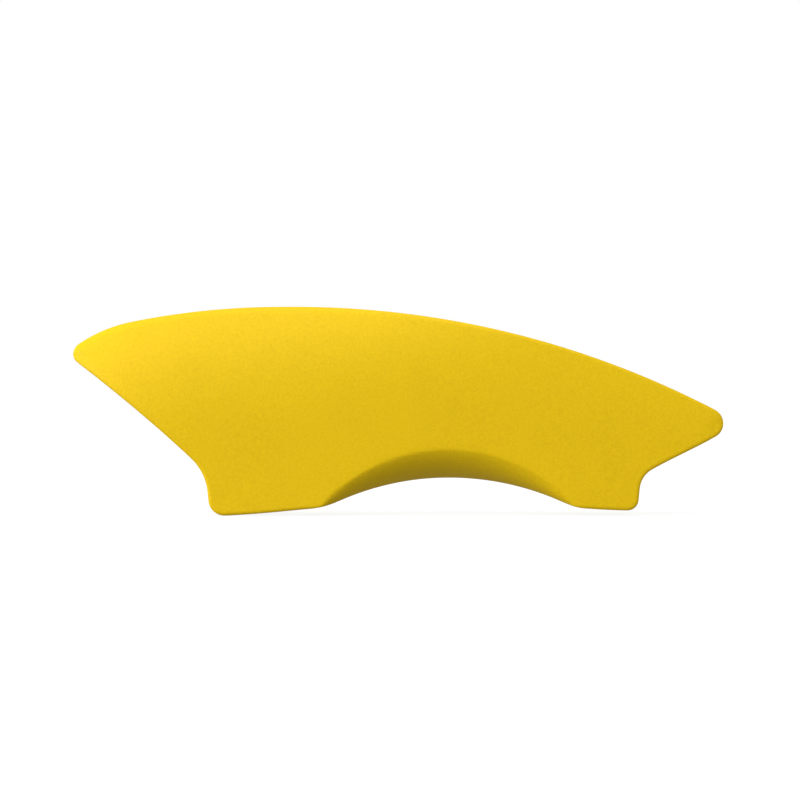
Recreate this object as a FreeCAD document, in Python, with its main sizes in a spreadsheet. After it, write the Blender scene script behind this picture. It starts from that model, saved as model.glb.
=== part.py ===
import FreeCAD, Part
import math
import os
import Sketcher
from FreeCAD import Placement, Rotation, Vector

# Moulded neck pillow for a spa or bath tub, held on the tub wall by four suction cups.
# +Z is up, +X runs along the pillow towards its short wing, and +Y points into the tub wall.
# The origin is the centre of the centre cup's rim, on the wall's surface (Y = 0).
# Depths are counted from the wall towards the bather, which is the -Y direction.

doc = FreeCAD.newDocument("spa_neck_pillow")
sheet = doc.addObject("Spreadsheet::Sheet", "Sizes")

SIZES = {
    # Front view of the pillow: its corners before rounding, left to right along the top,
    # then along the underside.
    "crest_x": -85.0, "crest_z": 39.9,
    "shoulder_x": -165.0, "shoulder_z": 31.9,
    "long_tip_x": -195.2, "long_tip_z": 16.8,
    "long_foot_top_x": -123.5, "long_foot_top_z": -42.3,
    "long_foot_x": -121.4, "long_foot_z": -64.1,
    "recess_start_x": -64.5, "recess_start_z": -59.5,
    "recess_end_x": 59.0, "recess_end_z": -59.8,
    "short_foot_x": 89.6, "short_foot_z": -61.3,
    "short_foot_top_x": 91.4, "short_foot_top_z": -43.6,
    "short_tip_x": 141.2, "short_tip_z": -18.2,
    # Radii of the outline's curved stretches.
    "crown_radius": 381.0, "shoulder_radius": 75.0, "long_wing_radius": 565.0,
    "recess_radius": 140.0, "brow_radius": 458.0,
    # Radii that round the outline's corners.
    "long_tip_round": 5.5, "short_tip_round": 7.5, "long_foot_round": 8.0, "short_foot_round": 5.5,
    "wing_hollow_round": 26.0, "foot_hollow_round": 12.0,
    "recess_start_round": 45.0, "recess_end_round": 26.0,
    # Thickness: the front is one long arc from tip to tip.
    "rear_gap": 10.0, "skin": 1.5, "front_round": 3.5, "plan_left_x": -200.0, "plan_right_x": 145.0,
    "left_depth": 57.0, "right_depth": 54.5, "front_radius": 2500.0, "clear_depth": 90.0,
    # Flare that opens the neck recess towards the bather.
    "flare_x": -3.0,
    "flare_front_depth": 64.0, "flare_front_radius": 82.0, "flare_front_top": -29.4,
    "flare_mid_depth": 55.0, "flare_mid_radius": 102.0, "flare_mid_top": -39.6,
    "flare_back_depth": 40.0, "flare_back_radius": 140.0, "flare_back_top": -46.6,
    # Stiff plate moulded into the rear, and the caps that keep foam out of its keyholes.
    "plate": 3.0, "plate_inset": 14.0, "plate_round": 5.0, "lock_radius": 4.0,
    "slot_radius": 3.8, "entry_radius": 7.2, "entry_drop": 12.0,
    "pocket_radius": 8.0, "pocket": 5.5, "cap_wall": 1.2, "cap_flange": 2.0,
    # Stem of a cup: a disc held in the cup, a neck through the keyhole and a mushroom head.
    "axis": 0.0,
    "disc_depth": 6.0, "disc": 1.6, "disc_radius": 6.0, "neck_radius": 3.5,
    "head_depth": 13.25, "head": 2.95, "head_edge": 1.9, "head_radius": 6.5, "head_crown_radius": 4.6,
    # Suction cup.
    "rim_radius": 21.0, "lip_radius": 18.2, "lip": 1.0, "roof_depth": 4.7, "roof_radius": 8.0,
    "hub_depth": 9.4, "hub_radius": 8.0, "hub_root_depth": 7.0, "hub_root_radius": 8.8,
    "half_tab": 4.5, "tab_root": 19.5, "tab_length": 27.5, "tab": 1.2,
    # Centres of the cups.
    "far_left_cup_x": -126.0, "far_left_cup_z": 8.0,
    "left_cup_x": -68.0, "left_cup_z": -12.0,
    "centre_cup_x": 0.0, "centre_cup_z": 0.0,
    "right_cup_x": 68.0, "right_cup_z": -12.0,
    # Holes that lock the foam to the plate.
    "lock_one_x": -155.0, "lock_one_z": 12.0, "lock_two_x": -97.0, "lock_two_z": -14.0,
    "lock_three_x": -34.0, "lock_three_z": -8.0, "lock_four_x": 34.0, "lock_four_z": -8.0,
}
for row, (alias, number) in enumerate(SIZES.items(), start=1):
    sheet.set(f"A{row}", alias.replace("_", " "))
    sheet.set(f"B{row}", str(number))
    sheet.setAlias(f"B{row}", alias)
doc.recompute()

CUPS = ["far_left", "left", "centre", "right"]
LOCKS = ["lock_one", "lock_two", "lock_three", "lock_four"]

# ---------------------------------------------------------------- helpers


def value(terms):
    """The number that a sum of cells comes to, such as 'rear_gap + skin'."""
    total = 0.0
    sign = 1.0
    for word in terms.split():
        if word in ("+", "-"):
            sign = 1.0 if word == "+" else -1.0
        else:
            total += sign * float(sheet.get(word))
    return total


def cells(terms):
    """The same sum written as an expression on the sheet."""
    return " ".join(word if word in ("+", "-") else f"Sizes.{word}" for word in terms.split())


def minus(terms):
    """The sum with its signs turned round: 'rear_gap + skin' becomes '- rear_gap - skin'."""
    return "- " + terms.replace("+", "-")


def add(kind, name, sizes=None, **links):
    """Add an object, link it to others and bind its sizes to the sheet."""
    thing = doc.addObject(kind, name)
    for key, link in links.items():
        setattr(thing, key, link)
    for key, terms in (sizes or {}).items():
        thing.setExpression(key, cells(terms))
    return thing


def place(thing, x, y, z):
    """Bind a piece's place to the sheet."""
    for axis, terms in zip("xyz", (x, y, z)):
        if terms:
            thing.setExpression(f"Placement.Base.{axis}", cells(terms))


def bulged_arc(start, end, radius):
    """Arc from start to end, anticlockwise for a positive radius and clockwise for a negative one."""
    chord = end - start
    across = Vector(-chord.y, chord.x, 0).normalize()
    rise = math.sqrt(radius ** 2 - (chord.Length / 2) ** 2)
    centre = (start + end) * 0.5 + across * math.copysign(rise, radius)
    first, last = (start, end) if radius > 0 else (end, start)
    angles = [math.atan2(point.y - centre.y, point.x - centre.x) for point in (first, last)]
    return Part.ArcOfCircle(Part.Circle(centre, Vector(0, 0, 1), abs(radius)), *angles)


def bind(sketch, terms, kind, *where):
    """Add a dimension to a sketch and bind it to the sheet."""
    index = sketch.addConstraint(Sketcher.Constraint(kind, *where, value(terms)))
    sketch.setExpression(f"Constraints[{index}]", cells(terms))


def draw(sketch, corners):
    """Draw a closed outline, anticlockwise. A corner is (x, y), or (x, y, radius) before an arc.

    Two distances from the origin hold each corner and a radius holds each arc. A minus sign
    before a radius makes that arc hollow.
    """
    points = [Vector(value(corner[0]), value(corner[1]), 0) for corner in corners]
    ends = []
    for number, corner in enumerate(corners):
        start = points[number]
        end = points[(number + 1) % len(points)]
        radius = value(corner[2]) if len(corner) == 3 else 0.0
        edge = bulged_arc(start, end, radius) if radius else Part.LineSegment(start, end)
        sketch.addGeometry(edge, False)
        ends.append((2, 1) if radius < 0 else (1, 2))
    for number in range(len(corners)):
        after = (number + 1) % len(corners)
        joint = Sketcher.Constraint("Coincident", number, ends[number][1], after, ends[after][0])
        sketch.addConstraint(joint)
    for number, corner in enumerate(corners):
        bind(sketch, corner[0], "DistanceX", -1, 1, number, ends[number][0])
        bind(sketch, corner[1], "DistanceY", -1, 1, number, ends[number][0])
        if len(corner) == 3:
            bind(sketch, corner[2].replace("- ", ""), "Radius", number)
    return sketch


def front_sketch(name, depth):
    """Empty sketch seen from the front (X right, Z up), at a depth in front of the wall."""
    sketch = add("Sketcher::SketchObject", name)
    sketch.Placement = Placement(Vector(), Rotation(Vector(1, 0, 0), 90))
    place(sketch, "", minus(depth), "")
    return sketch


def forward_block(name, profile, length):
    """Extrude a front-view profile towards the bather."""
    return add("Part::Extrusion", name, {"LengthFwd": length}, Base=profile,
               DirMode="Custom", Dir=Vector(0, -1, 0), Solid=True)


def rounded(name, base, radius, wanted):
    """Round the edges of a solid that a test picks out."""
    numbers = [number for number, edge in enumerate(base.Shape.Edges, start=1) if wanted(edge)]
    fillet = add("Part::Fillet", name, Base=base)
    fillet.Edges = [(number, radius, radius) for number in numbers]
    doc.recompute()
    return fillet


def nearest_corner(block, x, z):
    """Test for the upright edge of an extruded block that is nearest to a corner of its outline."""
    def aside(edge):
        start, end = edge.Vertexes[0].Point, edge.Vertexes[-1].Point
        upright = math.hypot(start.x - end.x, start.z - end.z) < 0.001 < abs(start.y - end.y)
        return math.hypot(start.x - x, start.z - z) if upright else math.inf
    return min(block.Shape.Edges, key=aside).isSame


def pin(name, x, z, radius, near, far):
    """Cylinder along Y between two depths."""
    cylinder = add("Part::Cylinder", name, {"Radius": radius, "Height": f"{far} {minus(near)}"})
    cylinder.Placement = Placement(Vector(), Rotation(Vector(1, 0, 0), 90))
    place(cylinder, x, minus(near), z)
    return cylinder


def slot(name, cup, radius, near, far):
    """Upright slot with round ends, from a cup's centre down to its keyhole's entry."""
    x, z = f"{cup}_cup_x", f"{cup}_cup_z"
    low = z + " - entry_drop"
    middle = add("Part::Box", name + "_middle", {"Height": "entry_drop", "Width": f"{far} {minus(near)}"})
    middle.setExpression("Length", f"2 * ({cells(radius)})")
    place(middle, f"{x} {minus(radius)}", minus(far), low)
    ends = [pin(name + "_top", x, z, radius, near, far), pin(name + "_low", x, low, radius, near, far)]
    return add("Part::MultiFuse", name, Shapes=[middle] + ends, Refine=True)


def body_sketch(body, name, role, corners):
    """Sketch on one of a body's own origin planes."""
    plane = next(item for item in body.Origin.OriginFeatures if item.Role == role)
    sketch = body.newObject("Sketcher::SketchObject", name)
    sketch.AttachmentSupport = (plane, [""])
    sketch.MapMode = "FlatFace"
    return draw(sketch, corners)


def turned(body, name, corners):
    """Turn a half profile (radius, Y) about the body's Y axis."""
    sketch = body_sketch(body, name + "_profile", "XY_Plane", corners)
    turning = body.newObject("PartDesign::Revolution", name + "_turning")
    turning.Profile = sketch
    turning.ReferenceAxis = (sketch, ["V_Axis"])
    turning.Angle = 360.0
    sketch.Visibility = False
    return turning


# ---------------------------------------------------------------- pillow

OUTLINE = [
    ("crest_x", "crest_z", "crown_radius"),
    ("shoulder_x", "shoulder_z", "shoulder_radius"),
    ("long_tip_x", "long_tip_z", "- long_wing_radius"),
    ("long_foot_top_x", "long_foot_top_z"),
    ("long_foot_x", "long_foot_z"),
    ("recess_start_x", "recess_start_z", "- recess_radius"),
    ("recess_end_x", "recess_end_z"),
    ("short_foot_x", "short_foot_z"),
    ("short_foot_top_x", "short_foot_top_z"),
    ("short_tip_x", "short_tip_z", "brow_radius"),
]
# Each corner of the outline, its rounding, and 1 where the corner juts out or -1 where it is
# hollow: a layer inside the skin has a smaller radius at the first and a larger one at the second.
CORNERS = [
    ("long_tip", "long_tip_round", 1), ("long_foot_top", "wing_hollow_round", -1),
    ("long_foot", "long_foot_round", 1), ("recess_start", "recess_start_round", 1),
    ("recess_end", "recess_end_round", 1), ("short_foot", "short_foot_round", 1),
    ("short_foot_top", "foot_hollow_round", -1), ("short_tip", "short_tip_round", 1),
]


def flare(name, inset):
    """Cutter that widens the neck recess towards the front: a loft through three circles."""
    deeper = f" + {inset}" if inset else ""
    rings = []
    for station in ("front", "mid", "back"):
        radius = f"flare_{station}_radius"
        ring = front_sketch(f"{name}_{station}", f"flare_{station}_depth")
        centre_z = f"flare_{station}_top - {radius}"
        centre = Vector(value("flare_x"), value(centre_z), 0)
        ring.addGeometry(Part.Circle(centre, Vector(0, 0, 1), value(radius + deeper)), False)
        bind(ring, "flare_x", "DistanceX", -1, 1, 0, 3)
        bind(ring, centre_z, "DistanceY", -1, 1, 0, 3)
        bind(ring, radius + deeper, "Radius", 0)
        rings.append(ring)
    return add("Part::Loft", name, Sections=rings, Solid=True, Ruled=False)


def pillow_form(name, inset):
    """Solid of the pillow's outer form (inset ""), or of the layer that lies inside its skin."""
    deeper = f" + {inset}" if inset else ""
    depth_of_skin = value(inset)
    rear = "rear_gap" + deeper
    profile = draw(front_sketch(name + "_outline", rear), OUTLINE)
    if inset:
        profile = add("Part::Offset2D", name + "_inset", {"Value": "- " + inset}, Source=profile,
                      Join="Intersection", Fill=False)
    block = forward_block(name + "_block", profile, "clear_depth")
    doc.recompute()
    for corner, rounding, side in CORNERS:
        wanted = nearest_corner(block, value(corner + "_x"), value(corner + "_z"))
        radius = value(rounding) - side * depth_of_skin
        block = rounded(f"{name}_{corner}_round", block, radius, wanted)

    plan = draw(add("Sketcher::SketchObject", name + "_plan"), [
        ("plan_left_x", minus(rear)), ("plan_left_x", "- left_depth" + deeper, "front_radius"),
        ("plan_right_x", "- right_depth" + deeper), ("plan_right_x", minus(rear)),
    ])
    slab = add("Part::Extrusion", name + "_slab", {"LengthFwd": "clear_depth", "LengthRev": "clear_depth"},
               Base=plan, DirMode="Custom", Dir=Vector(0, 0, 1), Solid=True)
    bowed = add("Part::Common", name + "_bowed", Base=block, Tool=slab)
    doc.recompute()

    def front(edge):
        return edge.BoundBox.YMax < -value("left_depth") / 2

    soft = rounded(name + "_soft", bowed, value("front_round") - depth_of_skin, front)
    return add("Part::Cut", name, Base=soft, Tool=flare(name + "_flare", inset))


outer_form = pillow_form("outer_form", "")
core_form = pillow_form("core_form", "skin")

# ---------------------------------------------------------------- plate and keyholes

REAR = "rear_gap"
PLATE_FRONT = "rear_gap + plate"
plate_outline = add("Part::Offset2D", "plate_outline", {"Value": "- plate_inset"},
                    Source=draw(front_sketch("plate_guide", REAR), OUTLINE), Join="Intersection")
plate_blank = forward_block("plate_block", plate_outline, "plate")
doc.recompute()
for corner in ("long_tip", "long_foot", "short_foot", "short_tip"):
    wanted = nearest_corner(plate_blank, value(corner + "_x"), value(corner + "_z"))
    plate_blank = rounded(f"plate_{corner}_round", plate_blank, value("plate_round"), wanted)

openings = []
for cup in CUPS:
    openings.append(slot(f"{cup}_neck_slot", cup, "slot_radius", REAR, PLATE_FRONT))
    entry_z = f"{cup}_cup_z - entry_drop"
    openings.append(pin(f"{cup}_entry", f"{cup}_cup_x", entry_z, "entry_radius", REAR, PLATE_FRONT))
plugs = [pin(f"{lock}_plug", f"{lock}_x", f"{lock}_z", "lock_radius", REAR, PLATE_FRONT) for lock in LOCKS]
plate_holes = add("Part::MultiFuse", "plate_holes", Shapes=openings + plugs)
plate = add("Part::Cut", "backing_plate", Base=plate_blank, Tool=plate_holes)

# ---------------------------------------------------------------- caps over the keyholes

CAP_FRONT = PLATE_FRONT + " + pocket + cap_wall"
FLANGE_FRONT = PLATE_FRONT + " + cap_wall"
caps = []
cap_forms = []
for cup in CUPS:
    wall = slot(f"{cup}_cap_wall", cup, "pocket_radius + cap_wall", PLATE_FRONT, CAP_FRONT)
    flange_radius = "pocket_radius + cap_wall + cap_flange"
    flange = slot(f"{cup}_cap_flange", cup, flange_radius, PLATE_FRONT, FLANGE_FRONT)
    form = add("Part::MultiFuse", f"{cup}_cap_form", Shapes=[wall, flange])
    pocket = slot(f"{cup}_pocket", cup, "pocket_radius", PLATE_FRONT, PLATE_FRONT + " + pocket")
    caps.append(add("Part::Cut", f"keyhole_cap_{cup}", Base=form, Tool=pocket))
    cap_forms.append(form)

# ---------------------------------------------------------------- skin and foam

hollow_skin = add("Part::Cut", "hollow_skin", Base=outer_form, Tool=core_form)
skin = add("Part::Cut", "outer_skin", Base=hollow_skin, Tool=plate_blank)
core_space = add("Part::MultiFuse", "core_space", Shapes=[plate_blank] + cap_forms)
foam_blank = add("Part::Cut", "foam_blank", Base=core_form, Tool=core_space)
foam = add("Part::MultiFuse", "foam_core", Shapes=[foam_blank] + plugs)

# ---------------------------------------------------------------- suction cups and their stems


def cup_stem(cup):
    """Nylon stem: a disc inside the cup, a neck through the keyhole and a mushroom head."""
    body = add("PartDesign::Body", f"cup_stem_{cup}")
    turned(body, body.Name, [
        ("axis", "- disc_depth"), ("axis", "- head_depth - head"),
        ("head_crown_radius", "- head_depth - head"), ("head_radius", "- head_depth - head_edge"),
        ("head_radius", "- head_depth"), ("neck_radius", "- head_depth"),
        ("neck_radius", "- disc_depth - disc"), ("disc_radius", "- disc_depth - disc"),
        ("disc_radius", "- disc_depth"),
    ])
    return body


def suction_cup(cup):
    """Soft cup moulded around the stem's disc, with a pull tab at its lowest point."""
    body = add("PartDesign::Body", f"suction_cup_{cup}")
    turned(body, body.Name, [
        ("axis", "- roof_depth"), ("axis", "- disc_depth"), ("disc_radius", "- disc_depth"),
        ("disc_radius", "- disc_depth - disc"), ("neck_radius", "- disc_depth - disc"),
        ("neck_radius", "- hub_depth"), ("hub_radius", "- hub_depth"),
        ("hub_root_radius", "- hub_root_depth"), ("rim_radius", "- lip"), ("rim_radius", "axis"),
        ("lip_radius", "axis"), ("roof_radius", "- roof_depth"),
    ])
    tab_plan = body_sketch(body, body.Name + "_tab_outline", "XZ_Plane", [
        ("- half_tab", "- tab_root"), ("- half_tab", "- tab_length"), ("half_tab", "- tab_length"),
        ("half_tab", "- tab_root"),
    ])
    tab = body.newObject("PartDesign::Pad", body.Name + "_tab")
    tab.Profile = tab_plan
    tab.setExpression("Length", "Sizes.tab")
    return body


stems = [cup_stem(cup) for cup in CUPS]
suction_cups = [suction_cup(cup) for cup in CUPS]
for cup, stem, soft_cup in zip(CUPS, stems, suction_cups):
    for body in (stem, soft_cup):
        place(body, f"{cup}_cup_x", "", f"{cup}_cup_z")

# ---------------------------------------------------------------- check and export

doc.recompute()
for thing in doc.Objects:
    faults = {"Invalid", "Error"} & set(thing.State)
    if faults:
        raise RuntimeError(f"{thing.Name} has failed: {thing.State}")

nodes = [skin, foam, plate] + caps + stems + suction_cups
os.makedirs("parts", exist_ok=True)
for node in nodes:
    if node.Shape.isNull() or not node.Shape.isValid() or not node.Shape.Solids:
        raise RuntimeError(f"{node.Label} has no valid shape")
for node in nodes:
    node.Shape.exportStep(f"parts/{node.Label}.step")
    print(f"{node.Label}: {len(node.Shape.Solids)} solid, {node.Shape.Volume / 1000:.2f} cm3")
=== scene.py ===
import math

import bmesh
import bpy
import numpy as np
from mathutils import Matrix, Vector
from mathutils.geometry import delaunay_2d_cdt


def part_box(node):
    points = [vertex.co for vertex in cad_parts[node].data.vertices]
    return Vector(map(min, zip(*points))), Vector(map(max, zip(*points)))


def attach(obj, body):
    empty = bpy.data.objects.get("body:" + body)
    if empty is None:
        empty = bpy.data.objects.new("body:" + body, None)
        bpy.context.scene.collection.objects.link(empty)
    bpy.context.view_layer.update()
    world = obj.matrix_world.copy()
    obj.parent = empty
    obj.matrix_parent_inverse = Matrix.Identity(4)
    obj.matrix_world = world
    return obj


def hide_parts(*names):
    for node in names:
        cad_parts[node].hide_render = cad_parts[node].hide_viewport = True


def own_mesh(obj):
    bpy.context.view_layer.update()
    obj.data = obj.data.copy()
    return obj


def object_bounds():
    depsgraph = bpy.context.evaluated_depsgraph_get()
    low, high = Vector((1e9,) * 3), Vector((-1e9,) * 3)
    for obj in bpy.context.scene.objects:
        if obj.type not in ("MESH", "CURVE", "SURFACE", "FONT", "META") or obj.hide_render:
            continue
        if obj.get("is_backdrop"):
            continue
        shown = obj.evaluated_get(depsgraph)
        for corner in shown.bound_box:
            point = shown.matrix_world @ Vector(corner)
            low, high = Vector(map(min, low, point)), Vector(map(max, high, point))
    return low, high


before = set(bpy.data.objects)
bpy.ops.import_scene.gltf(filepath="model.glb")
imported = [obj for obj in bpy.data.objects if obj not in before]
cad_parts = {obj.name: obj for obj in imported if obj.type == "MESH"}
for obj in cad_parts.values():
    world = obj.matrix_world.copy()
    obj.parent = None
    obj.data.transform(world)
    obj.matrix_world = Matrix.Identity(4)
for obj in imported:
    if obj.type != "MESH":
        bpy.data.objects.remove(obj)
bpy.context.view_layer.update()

# A spa neck pillow: a moulded yellow foam body, seen from the front, and the plate and suction
# cups behind it. Sizes are in metres. Depth runs along Y: the front faces -Y, the wall is Y = 0.

MM = 0.001
CUPS = ("far_left", "left", "centre", "right")

skin_low, skin_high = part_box("outer_skin")
REAR = skin_high.y
PLATE_LOW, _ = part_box("backing_plate")

# ------------------------------------------------------------------ the pillow's form

FRONT_RADIUS = 2.5            # the front is one long shallow arc in plan
FRONT_APEX_X = -46 * MM
WING_TURNS_X = -128 * MM      # past here the long wing bends back, by this much at its tip
WING_BEND = 4.5 * MM
# Crown: the front falls back towards the top edge, over a reach and by a sag, most at the long wing.
LONG_REACH, LONG_SAG = 70 * MM, 13 * MM
SHORT_REACH, SHORT_SAG = 45 * MM, 2.5 * MM
CROWN_FADES = (-120 * MM, 45 * MM)
RIM_ROUND = 3.2 * MM          # radius that rounds the front's rim along the long wing's top
LOWER_ROUND = 1.4 * MM        # and along the edges that face down or sideways, and the short wing's
# An edge faces up by its normal's height, from -1 to 1, and down by as much less.
TURNS_UP = (-0.2, 0.6)        # facing up between these, an edge takes on the larger rounding
TURNS_DOWN = (0.5, 0.9)       # facing down between these, the recess's edge loses its rounding,
RECESS_LOSS = 0.9             # by this share
TOP_HEIGHT = 0.25             # the top edge, which the crown falls back towards, faces up by more
RECESS_RADIUS = 140 * MM      # lower edge of the neck recess, and the crease over it
RECESS_CENTRE = (-2.75 * MM, -185.5 * MM)
RECESS_LEFT = (-76 * MM, -58 * MM)      # where the rim's rounding fades at the recess's two ends
RECESS_RIGHT = (50 * MM, 68 * MM)
CREASE_RADIUS = 83.7 * MM
CREASE_CENTRE = (-4 * MM, -114.6 * MM)
FLARE_DEPTH = 25 * MM         # how far back the flare under the crease runs,
FLARE_WIDTH = 15 * MM         # where it is this wide: elsewhere its depth follows its width,
FLARE_MOST = 1.1              # up to this many times as deep
FLARE_SLANT = 0.25            # share of the flare's depth that is a slant, the rest being a hollow curve
CREASE_SOFTNESS = 0.06        # share of the flare's width over which the crease turns
FLARE_STARTS = 0.002          # share of the width where the flare counts as begun
REAR_ROUND = 3 * MM
SKIN = 1.5 * MM               # thickness
STEEPEST = 2.5                # bound on how much a slope thickens the skin along Y
PARTING_Y = -30 * MM          # the mould's parting line round the wall, a low bead
BEAD = 0.35 * MM
BEAD_REACH = 1 * MM
BEAD_SHAPE = [(-0.8, 0), (-0.4, 0.7), (0, 1), (0.4, 0.7), (0.8, 0)]     # along its reach, and its lift
RIM_Y = -50 * MM              # about where the front's rim meets the wall

# ------------------------------------------------------------------ how finely the mesh follows it

EDGE_STEP = 1.2 * MM          # along the outline
GRID_STEP = 2.4 * MM          # across the front
FINE_STEP = 0.4 * MM          # along the outline that distances are measured from
SPAN_STEPS = 24               # along the curve between two points of the CAD's outline
SLOPE_STEP = 0.3 * MM         # each way from a point whose slope is worked out
WELD = 0.001 * MM             # vertices on the CAD's rear that are closer than this are one
TINY = 0.01 * MM              # as are any others this close, and depths that are compared
SAME_POINT = 0.0001 * MM      # and the points of a triangulation
LEAST_ROUND = 0.2 * MM        # radius that is left to the rim of a layer inside the skin
GRID_CLEAR = 0.7 * GRID_STEP  # how far the grid stays from the edge
ROW_CLEAR = 0.5 * EDGE_STEP   # how far the crease's rows stay from the edge
ROW_GAP = 0.5 * GRID_STEP     # and the grid from those rows
WALL_ROWS = (0, 0.25, 0.5, 0.75)        # shares of the wall's two halves where a row of faces starts
CHUNK = 400                   # the fewest points whose distances are worked out together
RINGS = [0, 0.08, 0.3, 0.7, 1.3, 2.1, 3.2, 4.6, 6.2]    # insets of the front's rings, in mm
CREASE_ROWS = [-1.4 * MM, -0.5 * MM, 0, 0.5 * MM, 1.4 * MM]      # rows of points along the crease
REAR_STEPS = 6                # round the rear's edge
SHARP = math.radians(60)      # edges that turn by more than this are shaded as corners


def smoothstep(low, high, x):
    t = np.clip((x - low) / (high - low), 0.0, 1.0)
    return t * t * (3 - 2 * t)


def rear_loops(node):
    """The closed loops (x, z) that bound a node's flat rear, the longest first."""
    mesh = bmesh.new()
    mesh.from_mesh(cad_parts[node].data)
    bmesh.ops.remove_doubles(mesh, verts=mesh.verts, dist=WELD)
    mesh.verts.index_update()
    mesh.verts.ensure_lookup_table()
    flat = {f for f in mesh.faces if all(abs(v.co.y - REAR) < TINY for v in f.verts)}
    follow = {}
    for face in flat:
        for loop in face.loops:
            if len(flat.intersection(loop.edge.link_faces)) == 1:
                follow[loop.vert.index] = loop.link_loop_next.vert.index
    loops = []
    while follow:
        start = min(follow, key=lambda i: tuple(mesh.verts[i].co))
        chain, after = [start], follow.pop(start)
        while after != start:
            chain.append(after)
            after = follow.pop(after)
        loops.append(np.array([(mesh.verts[i].co.x, mesh.verts[i].co.z) for i in chain]))
    mesh.free()
    return sorted((anticlockwise(loop) for loop in loops), key=length, reverse=True)


def length(loop):
    return float(np.linalg.norm(np.roll(loop, -1, 0) - loop, axis=1).sum())


def anticlockwise(loop):
    after = np.roll(loop, -1, 0)
    area = (loop[:, 0] * after[:, 1] - after[:, 0] * loop[:, 1]).sum()
    return loop if area > 0 else loop[::-1]


def resample(loop, step):
    """Even points along a smooth closed curve through the loop's own points."""
    before, after, beyond = np.roll(loop, 1, 0), np.roll(loop, -1, 0), np.roll(loop, -2, 0)
    t = np.linspace(0, 1, SPAN_STEPS, endpoint=False)[None, :, None]
    span = np.linalg.norm(after - loop, axis=1)[:, None]
    span_before = np.linalg.norm(loop - before, axis=1)[:, None]
    span_after = np.linalg.norm(beyond - after, axis=1)[:, None]
    slope = ((after - loop) / span + (loop - before) / span_before) / 2 * span
    slope_after = ((after - loop) / span + (beyond - after) / span_after) / 2 * span
    p, q, m, n = (a[:, None, :] for a in (loop, after, slope, slope_after))
    curve = ((2 * t**3 - 3 * t**2 + 1) * p + (t**3 - 2 * t**2 + t) * m
             + (-2 * t**3 + 3 * t**2) * q + (t**3 - t**2) * n).reshape(-1, 2)
    closed = np.vstack([curve, curve[:1]])
    along = np.concatenate([[0], np.cumsum(np.linalg.norm(np.diff(closed, axis=0), axis=1))])
    count = int(round(along[-1] / step))
    where = np.linspace(0, along[-1], count, endpoint=False)
    return np.stack([np.interp(where, along, closed[:, k]) for k in (0, 1)], 1)


def divided(loop, step):
    """A closed loop's own corners, with its longer straight runs cut into steps."""
    points = []
    for start, end in zip(loop, np.roll(loop, -1, 0)):
        count = max(1, round(float(np.linalg.norm(end - start)) / step))
        points += [start + (end - start) * k / count for k in range(count)]
    return np.array(points)


def outward(loop):
    tangent = np.roll(loop, -1, 0) - np.roll(loop, 1, 0)
    tangent /= np.linalg.norm(tangent, axis=1)[:, None]
    return np.stack([tangent[:, 1], -tangent[:, 0]], 1)


outer_loop, plate_loop = rear_loops("outer_skin")[:2]
OUTLINE = resample(outer_loop, EDGE_STEP)
OUTLINE_NORMAL = outward(OUTLINE)
PLATE_EDGE = divided(plate_loop, EDGE_STEP)
FINE = resample(outer_loop, FINE_STEP)
FINE_NORMAL = outward(FINE)


def rim_radii(points, normals):
    """Radius that rounds the front's rim at points of the outline: almost none along the recess."""
    x = points[:, 0]
    crowned = smoothstep(*TURNS_UP, normals[:, 1]) * (1 - smoothstep(*CROWN_FADES, x))
    radius = LOWER_ROUND + (RIM_ROUND - LOWER_ROUND) * crowned
    recess = smoothstep(*RECESS_LEFT, x) * (1 - smoothstep(*RECESS_RIGHT, x))
    return radius * (1 - RECESS_LOSS * recess * smoothstep(*TURNS_DOWN, -normals[:, 1]))


FINE_RIM = rim_radii(FINE, FINE_NORMAL)
TOP_EDGE = FINE[FINE_NORMAL[:, 1] > TOP_HEIGHT]


def nearest(points, line):
    """Distance from each point to the nearest point of a line, and that point's number."""
    distances, numbers = [], []
    for chunk in np.array_split(points, max(1, len(points) // CHUNK)):
        gap = np.linalg.norm(chunk[:, None, :] - line[None], axis=2)
        numbers.append(gap.argmin(1))
        distances.append(gap.min(1))
    return np.concatenate(distances), np.concatenate(numbers)


def form_depth(points):
    """Y of the front at points (x, z) inside the outline, before its rim is rounded."""
    across = points[:, 0] - FRONT_APEX_X
    face = skin_low.y + FRONT_RADIUS - np.sqrt(FRONT_RADIUS**2 - across**2)
    past = np.clip((WING_TURNS_X - points[:, 0]) / (WING_TURNS_X - skin_low.x), 0, 1)
    face += WING_BEND * past**2
    below_top, _ = nearest(points, TOP_EDGE)
    short = smoothstep(*CROWN_FADES, points[:, 0])
    reach = LONG_REACH + (SHORT_REACH - LONG_REACH) * short
    sag = LONG_SAG + (SHORT_SAG - LONG_SAG) * short
    crown = sag * np.clip(1 - below_top / reach, 0, 1) ** 3
    inside_crease = CREASE_RADIUS - np.linalg.norm(points - np.array(CREASE_CENTRE), axis=1)
    above_recess = np.linalg.norm(points - np.array(RECESS_CENTRE), axis=1) - RECESS_RADIUS
    width = np.maximum(inside_crease + above_recess, TINY)
    t = np.where(above_recess < 0, 1.0, inside_crease / width)
    t = np.clip((t + np.sqrt(t * t + CREASE_SOFTNESS**2)) / 2 - CREASE_SOFTNESS**2 / 4, 0, 1)
    depth = FLARE_DEPTH * np.clip(width / FLARE_WIDTH, 0, FLARE_MOST)
    flare = depth * (FLARE_SLANT * t + (1 - FLARE_SLANT) * (1 - np.sqrt(1 - t * t)))
    return face + crown + np.where(t > FLARE_STARTS, flare, 0)


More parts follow.
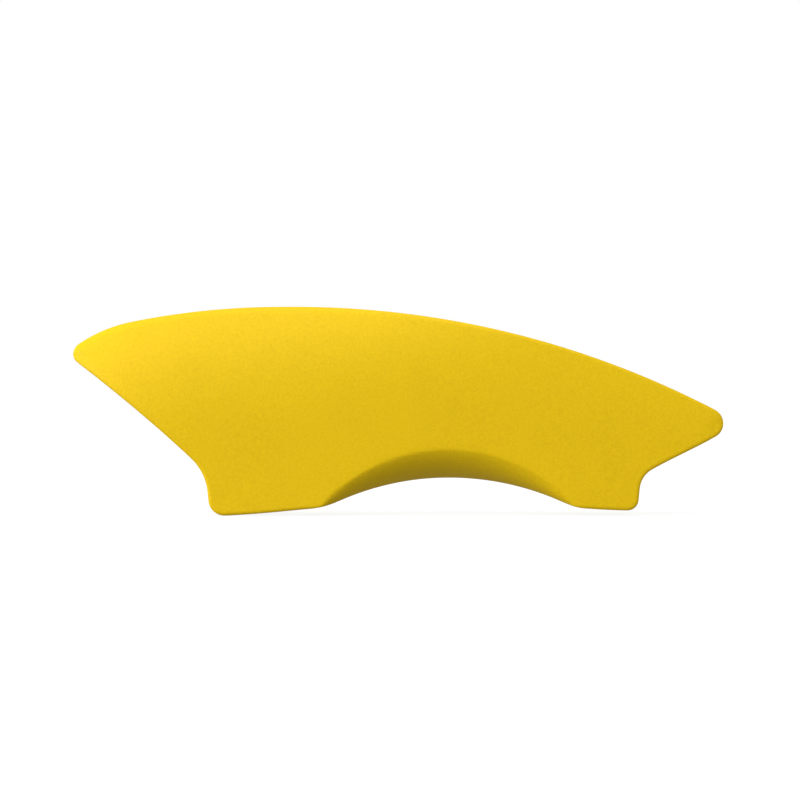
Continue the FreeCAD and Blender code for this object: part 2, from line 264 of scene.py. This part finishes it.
def front_depth(points, inset):
    """Y of the front, or of the layer that lies an inset inside it."""
    depth = form_depth(points)
    if inset:
        slopes = [(form_depth(points + aside) - form_depth(points - aside)) / (2 * SLOPE_STEP)
                  for aside in (np.array([SLOPE_STEP, 0]), np.array([0, SLOPE_STEP]))]
        depth += inset * np.minimum(np.sqrt(1 + slopes[0]**2 + slopes[1]**2), STEEPEST)
    distance, number = nearest(points, FINE)
    rim = np.maximum(FINE_RIM[number] - inset, LEAST_ROUND)
    turn = np.clip(1 - np.maximum(distance - inset, 0) / rim, 0, 1)
    return depth + rim * (1 - np.sqrt(1 - turn**2))


def add_triangles(mesh, points, edges, keep, height):
    """Triangulate flat points (x, z), keep the triangles that a test accepts, and lift them to Y."""
    cdt = delaunay_2d_cdt([Vector(p) for p in points], edges, [], 0, SAME_POINT)
    flat = np.array([tuple(v) for v in cdt[0]])
    faces = np.array([tuple(f) for f in cdt[2]])
    accepted = keep(flat[faces].mean(1))
    ys = height(flat)
    verts = [mesh.verts.new((x, y, z)) for (x, z), y in zip(flat, ys)]
    for triangle in faces[accepted]:
        mesh.faces.new([verts[i] for i in triangle])


def inside(points, loop):
    """Whether points lie inside a closed loop, by the crossings of a ray."""
    result = np.zeros(len(points), bool)
    x, z = points[:, 0], points[:, 1]
    for (x0, z0), (x1, z1) in zip(loop, np.roll(loop, -1, 0)):
        if z0 == z1:
            continue
        crosses = (z0 > z) != (z1 > z)
        result ^= crosses & (x < (x1 - x0) * (z - z0) / (z1 - z0) + x0)
    return result


def ring_edges(first, count):
    return [(first + k, first + (k + 1) % count) for k in range(count)]


def grid_inside(loop):
    """Points of a triangular grid inside a loop, clear of its edge."""
    low, high = loop.min(0), loop.max(0)
    row_step = GRID_STEP * math.sqrt(3) / 2
    rows = np.arange(low[1], high[1], row_step)
    points = [(x + (k % 2) * GRID_STEP / 2, z) for k, z in enumerate(rows)
              for x in np.arange(low[0], high[0], GRID_STEP)]
    points = np.array(points)
    points = points[inside(points, loop)]
    return points[nearest(points, loop)[0] > GRID_CLEAR]


def creased_grid(loop):
    """A grid inside a loop, with rows of points that follow the crease."""
    grid = grid_inside(loop)
    turns = np.arange(0, math.pi, EDGE_STEP / CREASE_RADIUS)
    round_centre = np.stack([np.cos(turns), np.sin(turns)], 1)
    rows = np.vstack([CREASE_CENTRE + (CREASE_RADIUS + row) * round_centre for row in CREASE_ROWS])
    rows = rows[inside(rows, loop)]
    rows = rows[nearest(rows, loop)[0] > ROW_CLEAR]
    clear = nearest(grid, rows)[0] > ROW_GAP
    return np.vstack([grid[clear], rows])


def pillow_surface(inset, bead, opening):
    """The pillow's outside, or a layer inside it, as an open mesh with an opening in its rear."""
    mesh = bmesh.new()
    edge = OUTLINE - OUTLINE_NORMAL * inset
    rear, rear_round = REAR - inset, REAR_ROUND - inset
    rings = [edge - OUTLINE_NORMAL * ring * MM for ring in RINGS]
    add_triangles(mesh, np.vstack(rings + [creased_grid(rings[-1])]), ring_edges(0, len(edge)),
                  lambda p: inside(p, edge), lambda p: front_depth(p, inset))

    top = front_depth(edge, inset)
    line_low, line_high = PARTING_Y - BEAD_REACH, PARTING_Y + BEAD_REACH
    rows = [(top + (line_low - top) * share, 0) for share in (*WALL_ROWS, 1)]
    rows += [(PARTING_Y + side * BEAD_REACH, -bead * lift) for side, lift in BEAD_SHAPE]
    rear_start = rear - rear_round
    rows += [(line_high + (rear_start - line_high) * share, 0) for share in WALL_ROWS]
    turns = [math.pi / 2 * k / REAR_STEPS for k in range(REAR_STEPS + 1)]
    rows += [(rear_start + rear_round * math.sin(a), rear_round * (1 - math.cos(a))) for a in turns]
    strips = []
    for y, inward in rows:
        ring = edge - OUTLINE_NORMAL * inward
        ys = np.broadcast_to(y, len(ring))
        strips.append([mesh.verts.new((x, yy, z)) for (x, z), yy in zip(ring, ys)])
    for upper, lower in zip(strips, strips[1:]):
        bridge(mesh, upper, lower)

    rear_ring = edge - OUTLINE_NORMAL * rear_round
    edges = ring_edges(0, len(rear_ring)) + ring_edges(len(rear_ring), len(opening))
    add_triangles(mesh, np.vstack([rear_ring, opening]), edges,
                  lambda p: inside(p, rear_ring) & ~inside(p, opening),
                  lambda p: np.full(len(p), rear))
    bmesh.ops.remove_doubles(mesh, verts=mesh.verts, dist=TINY)
    loose = [v for v in mesh.verts if not v.link_faces]
    bmesh.ops.delete(mesh, geom=loose, context="VERTS")
    return mesh


def bridge(mesh, upper, lower):
    """Quads between two rings of as many vertices."""
    for k in range(len(upper)):
        after = (k + 1) % len(upper)
        mesh.faces.new([upper[k], lower[k], lower[after], upper[after]])


def open_ring(mesh, loop, y):
    """The open edge's vertices at a depth, in the order of the loop that they lie on."""
    ring = [v for v in mesh.verts if v.is_boundary and abs(v.co.y - y) < TINY]
    return [min(ring, key=lambda v: (v.co.x - x) ** 2 + (v.co.z - z) ** 2) for x, z in loop]


def face_outward(mesh):
    """Turn a closed mesh's faces to the outside."""
    bmesh.ops.recalc_face_normals(mesh, faces=mesh.faces)
    if mesh.calc_volume(signed=True) < 0:
        bmesh.ops.reverse_faces(mesh, faces=mesh.faces)
    return mesh


def piece_from(mesh, name):
    data = bpy.data.meshes.new(name)
    mesh.to_mesh(data)
    mesh.free()
    data.shade_smooth()
    data.set_sharp_from_angle(angle=SHARP)
    made = bpy.data.objects.new(name, data)
    bpy.context.scene.collection.objects.link(made)
    return made


def make_skin():
    """The moulded skin: the outside, the layer under it, and the edge round the plate between them."""
    mesh = pillow_surface(0, BEAD, PLATE_EDGE)
    layer = bpy.data.meshes.new("layer")
    under = pillow_surface(SKIN, 0, PLATE_EDGE)
    under.to_mesh(layer)
    under.free()
    mesh.from_mesh(layer)
    bpy.data.meshes.remove(layer)
    bridge(mesh, open_ring(mesh, PLATE_EDGE, REAR), open_ring(mesh, PLATE_EDGE, REAR - SKIN))
    return piece_from(face_outward(mesh), "moulded_skin")


skin = make_skin()
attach(skin, "pillow")
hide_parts("outer_skin")


def solid_piece(mesh, name, *changes):
    """Turn a bmesh into a piece, after joining or cutting it with other meshes: (operation, bmesh)."""
    piece = piece_from(mesh, name)
    tools = []
    for operation, tool in changes:
        tools.append(piece_from(tool, name + "_tool"))
        change = piece.modifiers.new(operation, "BOOLEAN")
        change.operation = operation
        change.solver = "EXACT"
        change.object = tools[-1]
    graph = bpy.context.evaluated_depsgraph_get()
    baked = bpy.data.meshes.new_from_object(piece.evaluated_get(graph))
    baked.set_sharp_from_angle(angle=SHARP)
    piece.modifiers.clear()
    piece.data = baked
    for tool in tools:
        bpy.data.objects.remove(tool)
    return piece


def prism(loop, y_low, y_high):
    """Closed block between two depths, with a loop (x, z) as its outline."""
    mesh = bmesh.new()
    face = mesh.faces.new([mesh.verts.new((x, y_low, z)) for x, z in loop])
    grown = bmesh.ops.extrude_face_region(mesh, geom=[face])["geom"]
    for vert in (v for v in grown if isinstance(v, bmesh.types.BMVert)):
        vert.co.y = y_high
    return face_outward(mesh)


def hull_of(node):
    """Closed hull around a CAD node."""
    mesh = bmesh.new()
    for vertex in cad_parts[node].data.vertices:
        mesh.verts.new(vertex.co)
    bmesh.ops.remove_doubles(mesh, verts=mesh.verts, dist=TINY)
    bmesh.ops.convex_hull(mesh, input=mesh.verts)
    inner = [v for v in mesh.verts if not v.link_faces]
    bmesh.ops.delete(mesh, geom=inner, context="VERTS")
    return face_outward(mesh)


CLEARANCE = 0.05 * MM         # between the foam and the skin and plate round it
LOCK_HOLE_LENGTH = 30 * MM    # a lock hole's edge is shorter than this, a keyhole's is longer
PLUG_ROOT = 1 * MM            # how far a plug runs on into the foam
PLUG_SUNK = 0.3 * MM          # and how far short of the rear it ends


def make_foam():
    """The foam inside the skin, up to the plate, with plugs through the plate's lock holes."""
    inset = SKIN + CLEARANCE
    opening = PLATE_EDGE + outward(PLATE_EDGE) * CLEARANCE
    floor = PLATE_LOW.y - CLEARANCE
    mesh = pillow_surface(inset, 0, opening)
    base = [mesh.verts.new((x, floor, z)) for x, z in opening]
    bridge(mesh, open_ring(mesh, opening, REAR - inset), base)
    mesh.faces.new(base)
    face_outward(mesh)
    holes = [loop for loop in rear_loops("backing_plate") if length(loop) < LOCK_HOLE_LENGTH]
    plugs = [("UNION", prism(hole, floor - PLUG_ROOT, REAR - PLUG_SUNK)) for hole in holes]
    pockets = [("DIFFERENCE", hull_of(f"keyhole_cap_{cup}")) for cup in CUPS]
    return solid_piece(mesh, "foam_body", *plugs, *pockets)


foam = make_foam()
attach(foam, "pillow")
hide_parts("foam_core")

# ------------------------------------------------------------------ suction cups

CUP_LOW, CUP_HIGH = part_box("suction_cup_centre")
RIM_RADIUS = CUP_HIGH.x       # because the centre cup is centred on the origin
# Half profile (radius, Y) in mm: from the middle of the boss inside the cup, out over the dome and round
# the rim, back to the hub, and into the pocket for the stem's disc. The pocket runs on under the boss, so
# that the disc, which is stiff, has room when the cup flattens.
CUP_PROFILE = [
    (0, -2.0), (1.1, -2.0), (1.4, -2.1), (1.6, -2.35), (6.3, -2.4), (6.8, -2.5), (7.15, -2.8), (7.3, -3.3),
    (7.45, -4.1), (7.75, -4.4), (8.3, -4.45), (8.6, -4.05), (9.4, -4.0), (9.9, -3.85), (12.4, -3.1),
    (14.6, -2.2), (15.9, -1.55), (16.2, -1.2), (16.9, -0.9), (17.6, -0.6), (17.9, -0.25), (18.4, -0.08),
    (18.8, 0), (20.6, 0), (20.9, -0.1), (21, -0.4), (20.9, -0.75), (20.5, -1.0),
    (19.2, -1.45), (17.6, -2.2), (17.3, -2.6), (16.9, -2.55), (15.2, -3.45), (12.9, -4.75), (10.9, -5.95),
    (9.7, -6.7), (8.9, -7.3), (8.3, -8.0), (8, -8.8), (7.8, -9.2), (7.4, -9.4), (4, -9.4), (3.65, -9.3),
    (3.6, -9.1), (3.6, -7.7), (6.1, -7.7), (6.1, -3.25), (0, -3.25),
]
CUP_STEPS = 96
GRIP_RIBS = (-22.9, -24.3, -25.7)       # heights of the tongue's ribs, in mm


def revolve(profile, steps):
    """Closed body turned from a half profile about the Y axis at the origin."""
    mesh = bmesh.new()
    turns = [2 * math.pi * k / steps for k in range(steps)]
    rings = []
    for radius, y in profile:
        if radius == 0:
            rings.append([mesh.verts.new((0, y, 0))] * steps)
        else:
            rings.append([mesh.verts.new((radius * math.cos(a), y, radius * math.sin(a))) for a in turns])
    for ring, after in zip(rings, rings[1:]):
        for k in range(steps):
            corners = [ring[k], ring[(k + 1) % steps], after[(k + 1) % steps], after[k]]
            distinct = list(dict.fromkeys(corners))
            if len(distinct) > 2:
                mesh.faces.new(distinct)
    return face_outward(mesh)


def pull_tab():
    """Tongue under the rim, with a rounded end."""
    half, root, end = 4.5 * MM, 18.9 * MM, 27.4 * MM
    back, front, steps = -1.15 * MM, -0.12 * MM, 16
    turns = [math.pi * k / steps for k in range(steps + 1)]
    round_end = [(-half * math.cos(a), -end + half - half * math.sin(a)) for a in turns]
    return prism([(-half, -root), *round_end, (half, -root)], back, front)


def grip_rib(z):
    """Low rib across the tongue's back, with sloping sides."""
    half, foot, crest = 3.2 * MM, 0.5 * MM, 0.22 * MM
    foot_y, crest_y = -1.0 * MM, -1.55 * MM
    mesh = bmesh.new()
    rows = []
    for y, deep in ((foot_y, foot), (crest_y, crest)):
        long = half - (foot - deep)
        rows.append([mesh.verts.new((x, y, z + dz)) for x, dz in
                     ((-long, -deep), (long, -deep), (long, deep), (-long, deep))])
    low, high = rows
    mesh.faces.new(low)
    mesh.faces.new(high)
    for k in range(4):
        after = (k + 1) % 4
        mesh.faces.new([low[k], low[after], high[after], high[k]])
    return face_outward(mesh)


def make_cup(cup):
    low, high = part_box(f"suction_cup_{cup}")
    centre = Vector(((low.x + high.x) / 2, 0, high.z - RIM_RADIUS))
    body = revolve([(r * MM, y * MM) for r, y in CUP_PROFILE], CUP_STEPS)
    ribs = [("UNION", grip_rib(z * MM)) for z in GRIP_RIBS]
    piece = solid_piece(body, f"soft_cup_{cup}", ("UNION", pull_tab()), *ribs)
    piece.data.transform(Matrix.Translation(centre))
    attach(piece, f"{cup}_cup")
    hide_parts(f"suction_cup_{cup}")
    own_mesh(piece)
    return piece


cups = [make_cup(cup) for cup in CUPS]

# ------------------------------------------------------------------ materials


SCREEN_GAMMA = 2.2


def colour(red, green, blue):
    """Linear colour from the 0 to 255 values of a screen."""
    linear = [(c / 255) ** SCREEN_GAMMA for c in (red, green, blue)]
    return (*linear, 1)


class Material:
    """A node material on object coordinates, in metres."""

    def __init__(self, name):
        self.data = bpy.data.materials.new(name)
        self.data.use_nodes = True
        self.tree = self.data.node_tree
        self.shader = self.tree.nodes["Principled BSDF"]
        self.place = self.node("ShaderNodeTexCoord").outputs["Object"]

    def node(self, kind, **settings):
        made = self.tree.nodes.new(kind)
        for key, setting in settings.items():
            setattr(made, key, setting)
        return made

    def link(self, source, target):
        self.tree.links.new(source, target)

    def noise(self, size, detail=3.0, roughness=0.5):
        """Noise whose grains are about the given size across, from 0 to 1."""
        made = self.node("ShaderNodeTexNoise")
        self.link(self.place, made.inputs["Vector"])
        made.inputs["Scale"].default_value = 1 / size
        made.inputs["Detail"].default_value = detail
        made.inputs["Roughness"].default_value = roughness
        return made.outputs["Fac"]

    def ramp(self, source, stops):
        """Colour ramp: stops are (position, colour)."""
        made = self.node("ShaderNodeValToRGB")
        self.link(source, made.inputs["Fac"])
        elements = made.color_ramp.elements
        for element, (position, tone) in zip(elements, stops):
            element.position = position
            element.color = tone
        for position, tone in stops[2:]:
            elements.new(position).color = tone
        return made.outputs["Color"]

    def mix(self, share, first, second):
        """Blend of two colours, which are a Mix node's inputs 6 and 7 and its output 2."""
        made = self.node("ShaderNodeMix", data_type="RGBA")
        for socket, thing in ((0, share), (6, first), (7, second)):
            if isinstance(thing, bpy.types.NodeSocket):
                self.link(thing, made.inputs[socket])
            else:
                made.inputs[socket].default_value = thing
        return made.outputs[2]

    def span(self, source, low, high):
        """Map 0 to 1 onto a range."""
        made = self.node("ShaderNodeMapRange")
        self.link(source, made.inputs["Value"])
        made.inputs["To Min"].default_value = low
        made.inputs["To Max"].default_value = high
        return made.outputs["Result"]

    def bump(self, source, height, before=None):
        made = self.node("ShaderNodeBump")
        self.link(source, made.inputs["Height"])
        made.inputs["Distance"].default_value = height
        made.inputs["Strength"].default_value = 1
        if before:
            self.link(before, made.inputs["Normal"])
        return made.outputs["Normal"]

    def feed(self, **inputs):
        for key, thing in inputs.items():
            socket = self.shader.inputs[key.replace("_", " ")]
            if isinstance(thing, bpy.types.NodeSocket):
                self.link(thing, socket)
            else:
                socket.default_value = thing


def skin_material():
    """Matte moulded polyurethane: fine grain, faint mottling, and a dark orange line of painted shade along
    the parting line.
    """
    mottle_size, speckle_size, speckle_share = 28 * MM, 1.1 * MM, 0.6
    grain_size, grain_height = 0.7 * MM, 0.07 * MM
    wave_size, wave_height = 9 * MM, 0.12 * MM
    gloss_size, smoothest, roughest = 2.5 * MM, 0.5, 0.66
    painted_shade_line_half = 0.7 * MM
    look = Material("moulded_skin")
    broad = look.ramp(look.noise(mottle_size, 4),
                      [(0.3, colour(198, 164, 4)), (0.7, colour(204, 169, 7))])
    fine = look.ramp(look.noise(speckle_size, 5, 0.6),
                     [(0.25, colour(186, 152, 2)), (0.8, colour(217, 181, 18))])
    tone = look.mix(speckle_share, broad, fine)
    axes = look.node("ShaderNodeSeparateXYZ")
    look.link(look.place, axes.inputs[0])
    # painted shade: the parting line's bead is coloured darker orange, for the dark edge seen along the
    # outline
    line = look.node("ShaderNodeMath", operation="COMPARE")
    look.link(axes.outputs["Y"], line.inputs[0])
    line.inputs[1].default_value = PARTING_Y
    line.inputs[2].default_value = painted_shade_line_half
    look.feed(Base_Color=look.mix(line.outputs[0], tone, colour(196, 120, 10)))
    grain = look.bump(look.noise(grain_size, 4, 0.65), grain_height)
    look.feed(Normal=look.bump(look.noise(wave_size, 3), wave_height, grain))
    look.feed(Roughness=look.span(look.noise(gloss_size), smoothest, roughest))
    look.feed(Specular_IOR_Level=0.12)
    return look.data


def plain_material(name, low, high, roughness, grain, height):
    """Moulded plastic: two tones, uneven gloss and a grain of a given size and height."""
    mottle_size, gloss_size, gloss_range = 12 * MM, 3 * MM, 0.06
    look = Material(name)
    look.feed(Base_Color=look.ramp(look.noise(mottle_size, 4), [(0.3, low), (0.7, high)]))
    uneven = look.span(look.noise(gloss_size), roughness - gloss_range, roughness + gloss_range)
    look.feed(Roughness=uneven)
    look.feed(Normal=look.bump(look.noise(grain, 3), height))
    return look


def plate_material():
    """Dark polypropylene with a spark-eroded grain that catches a little light."""
    low, high = colour(44, 45, 48), colour(56, 57, 60)
    return plain_material("polypropylene", low, high, 0.46, 0.6 * MM, 0.04 * MM).data


def foam_material():
    """Open polyurethane foam in warm cream: cells of a few tenths of a millimetre, with painted shade in
    their hollows.
    """
    cell_size = 0.8 * MM
    low, high = colour(222, 198, 118), colour(236, 216, 146)
    look = plain_material("foam", low, high, 0.88, 0.9 * MM, 0.35 * MM)
    shaded_cells = look.node("ShaderNodeTexVoronoi")
    look.link(look.place, shaded_cells.inputs["Vector"])
    shaded_cells.inputs["Scale"].default_value = 1 / cell_size
    # painted shade: each cell is darker towards its middle, where its hollow lies in shade
    tone = look.ramp(shaded_cells.outputs["Distance"], [(0.1, colour(196, 168, 92)), (0.5, colour(238, 218, 150))])
    look.feed(Base_Color=tone)
    return look.data


def nylon_material():
    """Natural nylon, smooth and slightly warm."""
    low, high = colour(228, 225, 214), colour(238, 235, 226)
    return plain_material("nylon", low, high, 0.34, 1.4 * MM, 0.015 * MM).data


def cup_material():
    """Milky soft PVC that lets some light through and shines a little."""
    low, high = colour(206, 216, 214), colour(220, 227, 224)
    look = plain_material("soft_pvc", low, high, 0.24, 2.5 * MM, 0.03 * MM)
    look.feed(Transmission_Weight=0.55, IOR=1.45, Coat_Weight=0.2, Coat_Roughness=0.15)
    return look.data


def paint(piece, material):
    if not piece.material_slots:
        piece.data.materials.append(material)
    for place in piece.material_slots:
        place.material = material


paint(skin, skin_material())
paint(foam, foam_material())
plate_look = plate_material()
paint(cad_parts["backing_plate"], plate_look)
nylon_look = nylon_material()
cup_look = cup_material()
for cup, soft_cup in zip(CUPS, cups):
    paint(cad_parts[f"keyhole_cap_{cup}"], plate_look)
    paint(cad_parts[f"cup_stem_{cup}"], nylon_look)
    paint(soft_cup, cup_look)

# ------------------------------------------------------------------ stage, light and camera


def lit_stage(tree, shader_input, seen, light):
    """Feed a strength that is one value as it is seen and another for the light it sends out."""
    camera_ray = tree.nodes.new("ShaderNodeLightPath").outputs["Is Camera Ray"]
    strength = tree.nodes.new("ShaderNodeMapRange")
    strength.inputs["To Min"].default_value = light
    strength.inputs["To Max"].default_value = seen
    tree.links.new(camera_ray, strength.inputs["Value"])
    tree.links.new(strength.outputs["Result"], shader_input)


def make_floor(light):
    """Pale floor under the lowest point, which glows as a lit table does, so that shadows stay faint."""
    low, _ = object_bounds()
    reach, seen = 6.0, 0.91
    mesh = bmesh.new()
    for x, y in ((-reach, -reach), (reach, -reach), (reach, reach), (-reach, reach)):
        mesh.verts.new((x, y, low.z))
    mesh.faces.new(mesh.verts)
    floor = piece_from(mesh, "floor")
    look = Material("floor")
    pale = look.ramp(look.noise(0.5, 2), [(0.3, (0.10, 0.10, 0.10, 1)), (0.7, (0.11, 0.11, 0.11, 1))])
    look.feed(Base_Color=pale, Specular_IOR_Level=0.0, Roughness=1.0, Emission_Color=(1, 1, 1, 1))
    lit_stage(look.tree, look.shader.inputs["Emission Strength"], seen, light)
    paint(floor, look.data)
    floor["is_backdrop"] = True


def make_sun(name, direction, strength, spread):
    """Broad soft light from one side, as even on the floor as on the object."""
    light = bpy.data.lights.new(name, "SUN")
    light.energy = strength
    light.angle = math.radians(spread)
    made = bpy.data.objects.new(name, light)
    made.rotation_euler = Vector(direction).to_track_quat("Z", "Y").to_euler()
    bpy.context.scene.collection.objects.link(made)


def make_world(light):
    """White backdrop all round, whose light on the object is only a soft fill."""
    world = bpy.data.worlds.new("studio")
    world.use_nodes = True
    background = world.node_tree.nodes["Background"]
    background.inputs["Color"].default_value = (1, 1, 1, 1)
    lit_stage(world.node_tree, background.inputs["Strength"], 1.0, light)
    bpy.context.scene.world = world


def make_camera():
    """Level view of the front, framed as wide as the photograph's."""
    width_seen = 397.2 * MM
    lens, sensor = 120.0, 36.0
    middle = Vector((-27.7 * MM, RIM_Y, -6.5 * MM))
    camera = bpy.data.cameras.new("camera")
    camera.lens = lens
    camera.sensor_width = sensor
    made = bpy.data.objects.new("camera", camera)
    made.location = middle + Vector((0, -width_seen * lens / sensor, 0))
    made.rotation_euler = (math.pi / 2, 0, 0)
    bpy.context.scene.collection.objects.link(made)
    bpy.context.scene.camera = made


FLOOR_LIGHT = 0.32
WORLD_LIGHT = 0.55
# Name, direction that the light comes from, strength and spread in degrees.
SUNS = [
    ("left", (-0.95, -0.25, 0.15), 3.3, 40),
    ("key", (-0.3, -0.7, 0.65), 2.06, 40),
    ("top", (-0.05, -0.1, 1), 1.25, 40),
    ("behind", (0.45, 0.85, 0.35), 1.4, 40),
]

make_floor(FLOOR_LIGHT)
make_world(WORLD_LIGHT)
for sun in SUNS:
    make_sun(*sun)
make_camera()
bpy.context.scene.view_settings.view_transform = "Standard"
